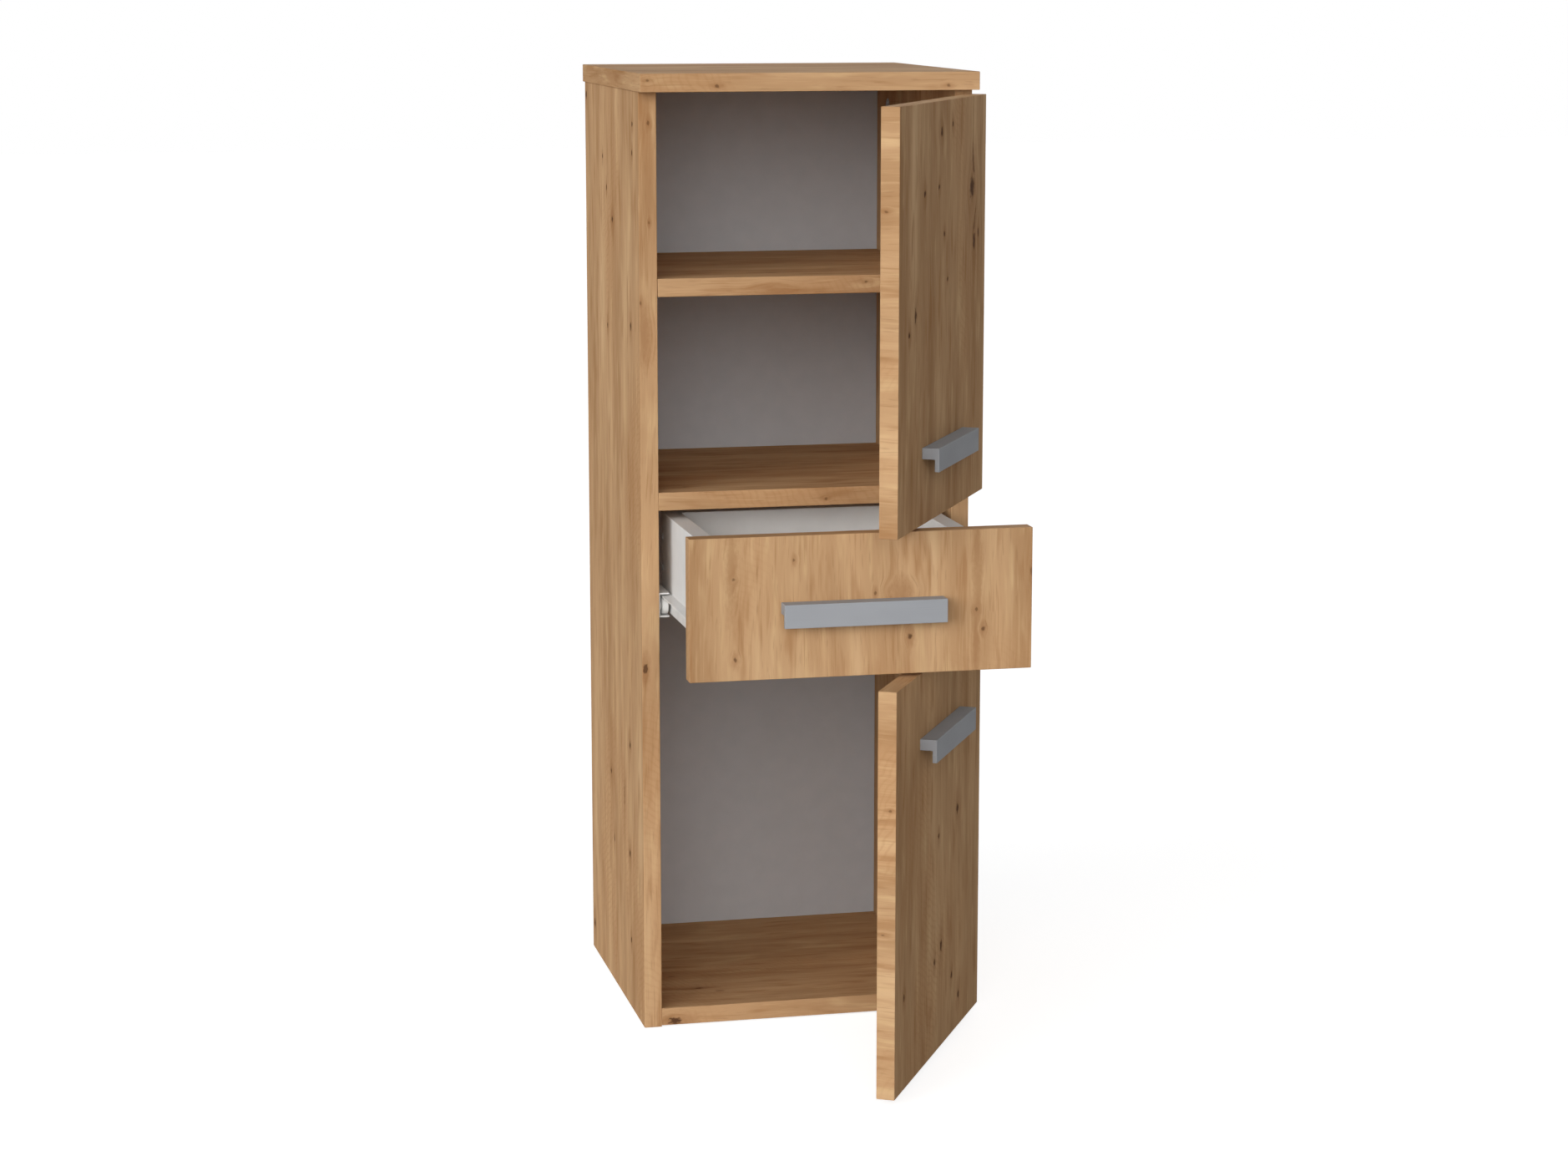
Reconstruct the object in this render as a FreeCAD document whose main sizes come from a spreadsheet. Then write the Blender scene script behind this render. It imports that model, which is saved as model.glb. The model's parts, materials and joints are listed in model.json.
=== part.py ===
import FreeCAD, Part
import operator
import os
from collections import defaultdict
from types import SimpleNamespace

import Sketcher

# A narrow free-standing bathroom cabinet: two doors hinged on the right, a drawer between them and two
# shelves. Millimetres, +Z up, +X to the right, front towards -Y. The origin is on the floor, at the wall,
# in the middle of the width. Doors and drawer are laid out shut, then moved to their open resting pose.

SIZES = {
    # Carcass
    "board": 16.0,
    "carcass_width": 300.0,
    "side_depth": 277.0,
    "back_thickness": 3.0,
    "back_inset": 1.0,
    "total_height": 857.0,
    "top_side_overhang": 1.5,
    "top_front_overhang": 19.5,
    "bottom_lift": 1.2,
    "shelf_rise": 7.7,
    "upper_shelf_raise": 5.5,
    "loose_shelf_gap": 0.3,
    # Fronts
    "front_reveal": 2.2,
    "door_gap": 2.0,
    "top_gap": 4.0,
    "front_spacing": 3.2,
    "floor_gap": 6.6,
    "drawer_front_height": 121.0,
    "door_open_angle": 60.5,
    # Handles
    "handle_length": 140.0,
    "handle_height": 20.0,
    "handle_depth": 15.0,
    "handle_leg": 9.5,
    "handle_lip": 4.0,
    "handle_screw_spacing": 128.0,
    "handle_screw_grip": 8.0,
    "door_handle_inset": 61.0,
    # Hinges
    "hinge_end_distance": 80.0,
    "pivot_edge_inset": 0.6,
    "pivot_face_inset": 1.6,
    "pin_radius": 1.2,
    "pin_fit": 0.05,
    "knuckle_gap": 1.0,
    "knuckle_clearance": 0.4,
    "strap_gap": 0.5,
    "tongue_gap": 0.8,
    "strap_neck": 2.4,
    "arm_width": 24.0,
    "arm_length": 36.0,
    "tongue_width": 8.0,
    "fork_clearance": 0.4,
    "cup_radius": 17.5,
    "cup_depth": 11.5,
    "cup_wall": 1.0,
    "cup_edge_distance": 5.0,
    "wing_width": 14.0,
    "wing_length": 60.0,
    "wing_sheet": 1.0,
    "wing_screw_spacing": 48.0,
    "arm_screw_setback": 12.0,
    "arm_screw_spacing": 15.0,
    # Drawer box
    "drawer_top_inset": 17.3,
    "drawer_bottom_inset": 19.7,
    "drawer_bottom_sheet": 3.0,
    "drawer_bottom_rise": 9.0,
    "groove_depth": 5.0,
    "groove_gap": 0.15,
    "drawer_cam_drop": 34.0,
    "drawer_dowel_spacing": 22.0,
    "drawer_screw_inset": 22.0,
    "drawer_screw_spacing": 28.0,
    # Drawer runners
    "slide_space": 12.7,
    "rail_sheet": 1.2,
    "rail_height": 17.0,
    "rail_length": 248.0,
    "rail_overlap": 58.0,
    "rail_setback": 2.0,
    "rail_seat": 12.0,
    "rail_head_gap": 1.7,
    "rail_screw_setback": 42.0,
    "roller_radius": 8.0,
    "roller_boss_radius": 4.0,
    "roller_bevel": 0.8,
    "roller_gap": 0.3,
    "roller_side_space": 2.15,
    "roller_end_distance": 1.0,
    "axle_radius": 2.0,
    "axle_fit": 0.05,
    "axle_head_radius": 3.2,
    "axle_head_height": 0.6,
    # Fixings
    "fixing_gap": 0.1,
    "dowel_radius": 4.0,
    "dowel_in_face": 10.0,
    "dowel_in_edge": 20.0,
    "bolt_radius": 3.0,
    "bolt_thread_radius": 2.5,
    "bolt_thread_length": 11.0,
    "cam_reach": 24.0,
    "cam_radius": 7.5,
    "cam_overrun": 4.5,
    "cam_setback": 40.0,
    "dowel_setback": 75.0,
    "screw_radius": 1.75,
    "screw_length": 12.0,
    "screw_head_radius": 3.4,
    "screw_head_height": 1.6,
    "rail_screw_head_height": 0.6,
    "long_screw_length": 40.0,
    "machine_screw_radius": 2.0,
    "machine_screw_head_radius": 4.0,
    "nail_radius": 0.7,
    "nail_length": 22.0,
    "nail_head_radius": 2.0,
    "nail_head_height": 0.6,
    "nail_margin": 60.0,
    "nail_shelf_spacing": 120.0,
    "pin_setback": 37.0,
    "shelf_pin_radius": 2.5,
    "shelf_pin_in_side": 8.0,
    "shelf_pin_in_bay": 8.0,
    "shelf_pin_collar_radius": 4.0,
    "shelf_pin_collar": 1.2,
}
NAILS_PER_SIDE = 5
SCREWS_PER_CABINET_RAIL = 3
SCREWS_PER_DRAWER_RAIL = 2
SCREWS_PER_DRAWER_BOTTOM = 3

OPERATIONS = {"+": operator.add, "-": operator.sub, "*": operator.mul, "/": operator.truediv}


class Dim:
    """A size held twice: as a number, and as the sheet formula that a property is bound to."""

    def __init__(self, value, text):
        self.value = value
        self.text = text

    def __add__(self, other):
        return combine(self, "+", other)

    def __radd__(self, other):
        return combine(other, "+", self)

    def __sub__(self, other):
        return combine(self, "-", other)

    def __rsub__(self, other):
        return combine(other, "-", self)

    def __mul__(self, other):
        return combine(self, "*", other)

    def __rmul__(self, other):
        return combine(other, "*", self)

    def __truediv__(self, other):
        return combine(self, "/", other)

    def __neg__(self):
        return combine(0, "-", self)


def as_dim(size):
    """A plain number as a size."""
    return size if isinstance(size, Dim) else Dim(float(size), f"({float(size)})")


def combine(left, sign, right):
    """Two sizes joined in one formula."""
    left = as_dim(left)
    right = as_dim(right)
    value = OPERATIONS[sign](left.value, right.value)
    return Dim(value, f"({left.text} {sign} {right.text})")


# The document and its sheet of driving sizes
doc = FreeCAD.newDocument("bathroom_cabinet")
sheet = doc.addObject("Spreadsheet::Sheet", "Sizes")
for row, (size_name, size_value) in enumerate(SIZES.items(), start=1):
    sheet.set(f"A{row}", size_name)
    sheet.set(f"B{row}", str(size_value))
    sheet.setAlias(f"B{row}", size_name)
doc.recompute()
s = SimpleNamespace(**{name: Dim(value, f"Sizes.{name}") for name, value in SIZES.items()})

# Carcass planes
wall = as_dim(0)
ground = as_dim(0)
half_width = s.carcass_width / 2
inner = half_width - s.board
side_middle = half_width - s.board / 2
front = -(s.side_depth + s.back_thickness)
back_face = -s.back_thickness
side_top = s.total_height - s.board
bottom_middle = s.bottom_lift + s.board / 2

# Front planes and heights, from the top down
front_half = half_width - s.front_reveal
front_inner = front - s.door_gap
front_outer = front_inner - s.board
upper_door_top = side_top - s.top_gap
fronts_height = upper_door_top - s.floor_gap - 2 * s.front_spacing
door_height = (fronts_height - s.drawer_front_height) / 2
upper_door_bottom = upper_door_top - door_height
drawer_front_top = upper_door_bottom - s.front_spacing
drawer_front_bottom = drawer_front_top - s.drawer_front_height
lower_door_top = drawer_front_bottom - s.front_spacing
middle_shelf_top = drawer_front_top + s.shelf_rise
middle_shelf_middle = middle_shelf_top - s.board / 2
upper_bay_middle = (middle_shelf_top + side_top) / 2
upper_shelf_bottom = upper_bay_middle + s.upper_shelf_raise - s.board / 2
fixing_places = (front + s.cam_setback, back_face - s.cam_setback)
dowel_places = (front + s.dowel_setback, back_face - s.dowel_setback)

# Hinge axis and plates
pivot_x = front_half - s.pivot_edge_inset
pivot_y = front_inner - s.pivot_face_inset
knuckle_radius = s.door_gap + s.pivot_face_inset - s.knuckle_gap
strap_sheet = s.door_gap - s.strap_gap
tongue_sheet = s.door_gap - s.tongue_gap
cup_x = front_half - s.cup_edge_distance - s.cup_radius

# Drawer box
drawer_half = inner - s.slide_space
drawer_side_middle = drawer_half - s.board / 2
drawer_inner = drawer_half - s.board
drawer_top = drawer_front_top - s.drawer_top_inset
drawer_bottom = drawer_front_bottom + s.drawer_bottom_inset
panel_low = drawer_bottom + s.drawer_bottom_rise
panel_high = panel_low + s.drawer_bottom_sheet
drawer_middle = (drawer_front_top + drawer_front_bottom) / 2

# Runners, stacked up from the underside of the drawer side
rail_low = drawer_bottom - s.rail_sheet
rail_high = rail_low + s.rail_height
roller_z = rail_high - s.rail_sheet - s.roller_gap - s.roller_radius
channel_low = roller_z - s.roller_radius - s.roller_gap - s.rail_sheet
channel_high = rail_high + s.rail_head_gap + s.rail_sheet
roller_width = s.slide_space - 2 * s.rail_sheet - 2 * s.roller_side_space
rail_reach = s.rail_sheet + s.roller_side_space + roller_width
boss_length = s.roller_side_space - s.roller_gap
cabinet_rail_front = front + s.rail_setback
cabinet_rail_rear = cabinet_rail_front + s.rail_length
drawer_rail_front = front_inner + s.rail_setback
drawer_rail_rear = drawer_rail_front + s.rail_length
cabinet_roller_y = cabinet_rail_front + s.roller_end_distance + s.roller_radius
drawer_roller_y = drawer_rail_rear - s.roller_end_distance - s.roller_radius

# The drawer box ends flush with its rails, and comes out until the rails overlap by a set length
drawer_rear = drawer_rail_rear
drawer_travel = s.rail_length - s.rail_overlap

TURNS = {
    "+x": FreeCAD.Rotation(FreeCAD.Vector(0, 1, 0), 90),
    "-x": FreeCAD.Rotation(FreeCAD.Vector(0, 1, 0), -90),
    "+y": FreeCAD.Rotation(FreeCAD.Vector(1, 0, 0), -90),
    "-y": FreeCAD.Rotation(FreeCAD.Vector(1, 0, 0), 90),
    "+z": FreeCAD.Rotation(),
    "-z": FreeCAD.Rotation(FreeCAD.Vector(1, 0, 0), 180),
}
SIDES = {"left": -1, "right": 1}

nodes = []
hardware = defaultdict(list)
holes = defaultdict(list)


def bind(item, path, size):
    """Tie one property of an object to the sheet."""
    item.setExpression(path, as_dim(size).text)


def place(item, at, turn=TURNS["+z"]):
    """Set an object at a point, with its coordinates tied to the sheet."""
    item.Placement = FreeCAD.Placement(FreeCAD.Vector(), turn)
    for axis, coordinate in zip("xyz", at):
        bind(item, f"Placement.Base.{axis}", coordinate)


def box(name, low, high):
    """A block between two corners."""
    item = doc.addObject("Part::Box", name)
    for side, start, end in zip(("Length", "Width", "Height"), low, high):
        bind(item, side, end - start)
    place(item, low)
    return item


def rod(name, radius, start, direction, length):
    """A round bar from its start along one of the six axis directions."""
    item = doc.addObject("Part::Cylinder", name)
    bind(item, "Radius", radius)
    bind(item, "Height", length)
    place(item, start, TURNS[direction])
    return item


def fused(name, items):
    """Several solids joined in one."""
    if len(items) == 1:
        return items[0]
    item = doc.addObject("Part::MultiFuse", name)
    item.Shapes = items
    item.Refine = True
    return item


def cut(name, base, tools):
    """A solid with the tools taken out of it."""
    item = doc.addObject("Part::Cut", name)
    item.Base = base
    item.Tool = fused(name + "_tools", tools)
    return item


def outline(body, plane, points):
    """A closed sketch of straight runs on one of the body's own planes, each corner tied to the sheet."""
    sketch = body.newObject("Sketcher::SketchObject", body.Name + "_outline")
    support = next(item for item in body.Origin.OriginFeatures if item.Role == plane)
    sketch.AttachmentSupport = [(support, "")]
    sketch.MapMode = "FlatFace"
    corners = [tuple(as_dim(size) for size in point) for point in points]
    vectors = [FreeCAD.Vector(across.value, up.value, 0) for across, up in corners]
    following = vectors[1:] + vectors[:1]
    for start, end in zip(vectors, following):
        sketch.addGeometry(Part.LineSegment(start, end))
    for index in range(len(corners)):
        following_index = (index + 1) % len(corners)
        sketch.addConstraint(Sketcher.Constraint("Coincident", index, 2, following_index, 1))
    for index, corner in enumerate(corners):
        for kind, size in zip(("DistanceX", "DistanceY"), corner):
            rule = sketch.addConstraint(Sketcher.Constraint(kind, -1, 1, index, 1, size.value))
            sketch.setExpression(f"Constraints[{rule}]", size.text)
    return sketch


def section(name, plane, points, length, at):
    """A drawn, rolled or bent piece: one cross-section run out to a length."""
    body = doc.addObject("PartDesign::Body", name)
    pad = body.newObject("PartDesign::Pad", name + "_run")
    pad.Profile = outline(body, plane, points)
    bind(pad, "Length", length)
    place(body, at)
    return body


def turned(name, points, at, direction):
    """A turned or drawn-round piece: an outline of radius and height swept about its axis."""
    body = doc.addObject("PartDesign::Body", name)
    sketch = outline(body, "XZ_Plane", points)
    turn = body.newObject("PartDesign::Revolution", name + "_turn")
    turn.Profile = sketch
    turn.ReferenceAxis = (sketch, ["V_Axis"])
    turn.Angle = 360
    place(body, at, TURNS[direction])
    return body


def stay(item):
    """Leave a carcass piece where it was laid out."""


def slide_open(item):
    """Pull a drawer piece out to its resting pose."""
    bind(item, "Placement.Base.y", -drawer_travel)


def swing_open(item):
    """Turn a door piece about the hinge axis to its resting pose."""
    turn = f"rotation(vector(0; 0; 1); {s.door_open_angle.text})"
    centre = f"vector({pivot_x.text}; {pivot_y.text}; 0)"
    item.setExpression("Placement", f"placement(vector(0; 0; 0); {turn}; {centre})")


def node(label, item, move=stay):
    """Finish a sub-part: bore it where its fixings pass, and set it in its resting pose."""
    if holes[label]:
        item = cut(label, item, holes[label])
    item.Label = label
    move(item)
    nodes.append(item)


def group(label, move=stay):
    """Finish a set of like fixings as one sub-part of separate solids."""
    item = doc.addObject("Part::Compound", label)
    item.Links = hardware[label]
    move(item)
    nodes.append(item)


def span(side, near, far):
    """The low and high x of something between two distances from the middle, on the left or right."""
    return (-far, -near) if side < 0 else (near, far)


def outward(side):
    """The direction from the middle towards the left or right side."""
    return "-x" if side < 0 else "+x"


def shifted(point, direction, distance):
    """A point moved along a direction."""
    sign = 1 if direction[0] == "+" else -1
    moved = "xyz".index(direction[1])
    return tuple(c + sign * distance if axis == moved else c for axis, c in enumerate(point))


def spaced(start, end, count):
    """Evenly spaced places from a start to an end."""
    return [start + (end - start) * (index / (count - 1)) for index in range(count)]


# Fixings: each one is added to its group and bored into the pieces that it passes

def add_dowel(label, pieces, joint, into):
    """A dowel across a joint, short in the face of one board and long in the edge of the other."""
    start = shifted(joint, into, -s.dowel_in_face)
    length = s.dowel_in_face + s.dowel_in_edge
    hardware[label].append(rod("dowel", s.dowel_radius, start, into, length))
    bore_start = shifted(start, into, -s.fixing_gap)
    bore = rod("dowel_bore", s.dowel_radius + s.fixing_gap, bore_start, into, length + 2 * s.fixing_gap)
    for piece in pieces:
        holes[piece].append(bore)


def add_cam(prefix, threaded, locked, joint, into, up):
    """A bolt in the face of one board, held by a cam lock let into the other board along up."""
    thread_start = shifted(joint, into, -s.bolt_thread_length)
    thread = rod("bolt_thread", s.bolt_thread_radius, thread_start, into, s.bolt_thread_length)
    shank = rod("bolt_shank", s.bolt_radius, joint, into, s.cam_reach)
    hardware[prefix + "_cam_bolts"].append(fused("cam_bolt", [thread, shank]))
    thread_bore = s.bolt_thread_radius + s.fixing_gap
    bore_start = shifted(thread_start, into, -s.fixing_gap)
    holes[threaded].append(
        rod("bolt_bore", thread_bore, bore_start, into, s.bolt_thread_length + s.fixing_gap))

    shank_bore = rod("shank_bore", s.bolt_radius + s.fixing_gap, joint, into, s.cam_reach + s.bolt_radius)
    cam_base = shifted(shifted(joint, into, s.cam_reach), up, -s.board / 2)
    cam_height = s.board / 2 + s.cam_overrun
    cam = rod("cam_blank", s.cam_radius, cam_base, up, cam_height)
    cam_bore = rod("cam_bore", s.cam_radius + s.fixing_gap, cam_base, up, cam_height + s.fixing_gap)
    hardware[prefix + "_cam_locks"].append(cut("cam_lock", cam, [shank_bore]))
    holes[locked] += [shank_bore, cam_bore]


def add_screw(label, pieces, seat, into, shank, head):
    """A screw whose head sits on a surface, with shank and head given as radius and length."""
    shank_radius, shank_length = shank
    head_radius, head_height = head
    body = rod("screw_shank", shank_radius, seat, into, shank_length)
    top = rod("screw_head", head_radius, shifted(seat, into, -head_height), into, head_height)
    hardware[label].append(fused("screw", [body, top]))
    bore = rod("screw_bore", shank_radius + s.fixing_gap, seat, into, shank_length + s.fixing_gap)
    for piece in pieces:
        holes[piece].append(bore)


wood_screw = (s.screw_radius, s.screw_length)
pan_head = (s.screw_head_radius, s.screw_head_height)
flat_head = (s.screw_head_radius, s.rail_screw_head_height)


def add_nail(piece, x, z):
    """A nail through the back panel into the piece in front of it, its head flush with the wall face."""
    seat = (x, -s.nail_head_height, z)
    shank = (s.nail_radius, s.nail_length)
    head = (s.nail_head_radius, s.nail_head_height)
    add_screw("back_panel_nails", ["back_panel", piece], seat, "-y", shank, head)
    recess_radius = s.nail_head_radius + s.fixing_gap
    holes["back_panel"].append(rod("nail_recess", recess_radius, (x, wall, z), "-y", s.nail_head_height))


def add_shelf_pin(panel, side, y):
    """A collared pin in a side panel that carries the loose shelf."""
    into = outward(side)
    face = (side * inner, y, upper_shelf_bottom - s.shelf_pin_radius)
    start = shifted(face, into, -s.shelf_pin_in_bay)
    length = s.shelf_pin_in_bay + s.shelf_pin_in_side
    shank = rod("shelf_pin_shank", s.shelf_pin_radius, start, into, length)
    collar_start = shifted(face, into, -s.shelf_pin_collar)
    collar = rod("shelf_pin_collar", s.shelf_pin_collar_radius, collar_start, into, s.shelf_pin_collar)
    hardware["shelf_pins"].append(fused("shelf_pin", [shank, collar]))
    bore_radius = s.shelf_pin_radius + s.fixing_gap
    holes[panel].append(rod("shelf_pin_bore", bore_radius, face, into, s.shelf_pin_in_side + s.fixing_gap))
    notch_radius = s.shelf_pin_collar_radius + s.fixing_gap
    notch_start = shifted(collar_start, into, -s.fixing_gap)
    notch = rod("collar_notch", notch_radius, notch_start, into, s.shelf_pin_collar + s.fixing_gap)
    holes["upper_shelf"].append(notch)


def fix_carcass():
    """Cams and dowels of the four carcass corners and the fixed shelf, shelf pins and back panel nails."""
    for name, side in SIDES.items():
        panel = name + "_side_panel"
        inward = outward(-side)
        for y in fixing_places:
            add_cam("carcass", "top_panel", panel, (side * side_middle, y, side_top), "-z", outward(side))
            for shelf, z in (("bottom_panel", bottom_middle), ("middle_shelf", middle_shelf_middle)):
                add_cam("carcass", panel, shelf, (side * inner, y, z), inward, "+z")
        for y in dowel_places:
            add_dowel("carcass_dowels", ["top_panel", panel], (side * side_middle, y, side_top), "-z")
            for shelf, z in (("bottom_panel", bottom_middle), ("middle_shelf", middle_shelf_middle)):
                add_dowel("carcass_dowels", [panel, shelf], (side * inner, y, z), inward)
        for y in (front + s.pin_setback, back_face - s.pin_setback):
            add_shelf_pin(panel, side, y)
        for z in spaced(s.nail_margin, side_top - s.nail_margin, NAILS_PER_SIDE):
            add_nail(panel, side * side_middle, z)
        for shelf, z in (("bottom_panel", bottom_middle), ("middle_shelf", middle_shelf_middle)):
            add_nail(shelf, side * s.nail_shelf_spacing / 2, z)
    for kind in ("dowels", "cam_bolts", "cam_locks"):
        group("carcass_" + kind)
    group("shelf_pins")
    group("back_panel_nails")


def make_carcass():
    """The seven boards of the carcass."""
    for name, side in SIDES.items():
        low_x, high_x = span(side, inner, half_width)
        label = name + "_side_panel"
        node(label, box(label + "_board", (low_x, front, ground), (high_x, back_face, side_top)))
    top_half = half_width + s.top_side_overhang
    top_front = front - s.top_front_overhang
    top_low = (-top_half, top_front, side_top)
    node("top_panel", box("top_board", top_low, (top_half, wall, s.total_height)))
    for label, low, high in (("bottom_panel", s.bottom_lift, s.bottom_lift + s.board),
                             ("middle_shelf", middle_shelf_top - s.board, middle_shelf_top)):
        node(label, box(label + "_board", (-inner, front, low), (inner, back_face, high)))
    shelf_half = inner - s.loose_shelf_gap
    shelf_low = (-shelf_half, front, upper_shelf_bottom)
    shelf_high = (shelf_half, back_face - s.loose_shelf_gap, upper_shelf_bottom + s.board)
    node("upper_shelf", box("upper_shelf_board", shelf_low, shelf_high))
    back_half = half_width - s.back_inset
    node("back_panel", box("back_board", (-back_half, back_face, ground), (back_half, wall, side_top)))


def make_handle(prefix, panel, z, move):
    """A hook-shaped bar on a front, its leg centred on z, with two screws from behind."""
    leg_low = z - s.handle_leg / 2
    leg_high = z + s.handle_leg / 2
    lip_low = leg_high - s.handle_height
    nose = front_outer - s.handle_depth
    points = [(front_outer, leg_low), (front_outer, leg_high), (nose, leg_high), (nose, lip_low),
              (nose + s.handle_lip, lip_low), (nose + s.handle_lip, leg_low)]
    label = prefix + "_handle"
    screws = prefix + "_handle_screws"
    shank = (s.machine_screw_radius, s.board + s.handle_screw_grip)
    head = (s.machine_screw_head_radius, s.screw_head_height)
    for side in SIDES.values():
        seat = (side * s.handle_screw_spacing / 2, front_inner, z)
        add_screw(screws, [panel, label], seat, "-y", shank, head)
    bar = section(label + "_bar", "YZ_Plane", points, s.handle_length, (-s.handle_length / 2, 0, 0))
    node(label, bar, move)
    group(screws, move)


def make_hinge_arm(label, z):
    """The bent strap on the right side panel: a leg on its face, and a fork with the outer knuckles."""
    low = z - s.arm_width / 2
    neck = s.strap_neck / 2
    strap_face = front - strap_sheet
    leg_rear = front + s.arm_length
    points = [(inner, leg_rear), (inner, front), (pivot_x + neck, front), (pivot_x + neck, pivot_y),
              (pivot_x - neck, pivot_y), (pivot_x - neck, strap_face),
              (inner - strap_sheet, strap_face), (inner - strap_sheet, leg_rear)]
    strap = section(label + "_strap", "XY_Plane", points, s.arm_width, (0, 0, low))
    axis_low = (pivot_x, pivot_y, low)
    knuckle = rod(label + "_knuckle", knuckle_radius, axis_low, "+z", s.arm_width)
    slot_half = s.tongue_width / 2 + s.fork_clearance
    slot = box(label + "_fork_slot", (inner - s.board, pivot_y - s.board, z - slot_half),
               (pivot_x + s.board, front, z + slot_half))
    bore = rod(label + "_pin_bore", s.pin_radius + s.pin_fit, axis_low, "+z", s.arm_width)
    holes[label] += [slot, bore]
    for setback in (s.arm_screw_setback, s.arm_screw_setback + s.arm_screw_spacing):
        seat = (inner - strap_sheet, front + setback, z)
        add_screw("hinge_arm_screws", [label, "right_side_panel"], seat, "+x", wood_screw, pan_head)
    hardware["hinge_pins"].append(rod("hinge_pin", s.pin_radius, axis_low, "+z", s.arm_width))
    node(label, fused(label + "_blank", [strap, knuckle]))


def make_hinge_cup(label, door, z):
    """The drawn cup in the door with its wings, and the tongue that carries the middle knuckle."""
    mouth = (cup_x, front_inner, z)
    wall_radius = s.cup_radius - s.cup_wall
    points = [(0, s.cup_depth), (s.cup_radius, s.cup_depth), (s.cup_radius, 0), (wall_radius, 0),
              (wall_radius, s.cup_depth - s.cup_wall), (0, s.cup_depth - s.cup_wall)]
    cup = turned(label + "_cup", points, mouth, "-y")
    wing_half = s.wing_width / 2
    wing_low = (cup_x - wing_half, front_inner, z - s.wing_length / 2)
    wing_high = (cup_x + wing_half, front_inner + s.wing_sheet, z + s.wing_length / 2)
    opening = rod(label + "_mouth", wall_radius, mouth, "+y", s.wing_sheet)
    wings = cut(label + "_wings", box(label + "_wing_plate", wing_low, wing_high), [opening])
    tongue_half = s.tongue_width / 2
    tongue = box(label + "_tongue", (cup_x - s.cup_radius, front_inner, z - tongue_half),
                 (pivot_x, front_inner + tongue_sheet, z + tongue_half))
    axis_low = (pivot_x, pivot_y, z - tongue_half)
    knuckle = rod(label + "_knuckle", knuckle_radius, axis_low, "+z", s.tongue_width)
    holes[label].append(rod(label + "_pin_bore", s.pin_radius + s.pin_fit, axis_low, "+z", s.tongue_width))
    for side in SIDES.values():
        seat = (cup_x, front_inner + s.wing_sheet, z + side * s.wing_screw_spacing / 2)
        add_screw(door + "_hinge_cup_screws", [label, door + "_panel"], seat, "-y", wood_screw, pan_head)
    notch_start = (pivot_x, pivot_y, z - s.arm_width / 2 - s.knuckle_clearance)
    notch = rod(label + "_notch", knuckle_radius + s.knuckle_clearance, notch_start, "+z",
                s.arm_width + 2 * s.knuckle_clearance)
    cup_bore = rod(label + "_bore", s.cup_radius + s.fixing_gap, mouth, "-y", s.cup_depth + s.fixing_gap)
    holes[door + "_panel"] += [notch, cup_bore]
    node(label, fused(label + "_blank", [cup, wings, tongue, knuckle]), swing_open)


def make_door(door, low, high, handle_z):
    """A door panel with its handle and two hinges."""
    for end, z in (("top", high - s.hinge_end_distance), ("bottom", low + s.hinge_end_distance)):
        make_hinge_arm(f"{door}_{end}_hinge_arm", z)
        make_hinge_cup(f"{door}_{end}_hinge_cup", door, z)
    group(door + "_hinge_cup_screws", swing_open)
    make_handle(door, door + "_panel", handle_z, swing_open)
    board = box(door + "_board", (-front_half, front_outer, low), (front_half, front_inner, high))
    node(door + "_panel", board, swing_open)


def make_doors():
    """The upper and the lower door, with the parts that all four hinges share."""
    make_door("upper_door", upper_door_bottom, upper_door_top, upper_door_bottom + s.door_handle_inset)
    make_door("lower_door", s.floor_gap, lower_door_top, lower_door_top - s.door_handle_inset)
    group("hinge_arm_screws")
    group("hinge_pins")


def make_roller(label, web_x, y, direction):
    """A roller with a boss towards the rail that carries it."""
    bore = s.axle_radius + s.axle_fit
    far = boss_length + roller_width
    face_radius = s.roller_radius - s.roller_bevel
    points = [(bore, 0), (s.roller_boss_radius, 0), (s.roller_boss_radius, boss_length),
              (face_radius, boss_length), (s.roller_radius, boss_length + s.roller_bevel),
              (s.roller_radius, far - s.roller_bevel), (face_radius, far), (bore, far)]
    node(label, turned(label, points, shifted((web_x, y, roller_z), direction, s.roller_gap), direction))


def add_axle(label, rail, web_x, y, direction):
    """A roller's axle, riveted through the web of its rail and headed beyond the roller."""
    start = shifted((web_x, y, roller_z), direction, -s.rail_sheet)
    length = s.rail_sheet + s.roller_gap + boss_length + roller_width + s.roller_gap
    pin = rod("axle_pin", s.axle_radius, start, direction, length)
    head_start = shifted(start, direction, length)
    head = rod("axle_head", s.axle_head_radius, head_start, direction, s.axle_head_height)
    hardware[label].append(fused("axle", [pin, head]))
    holes[rail].append(rod("axle_bore", s.axle_radius + s.axle_fit, start, direction, s.rail_sheet))


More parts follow.
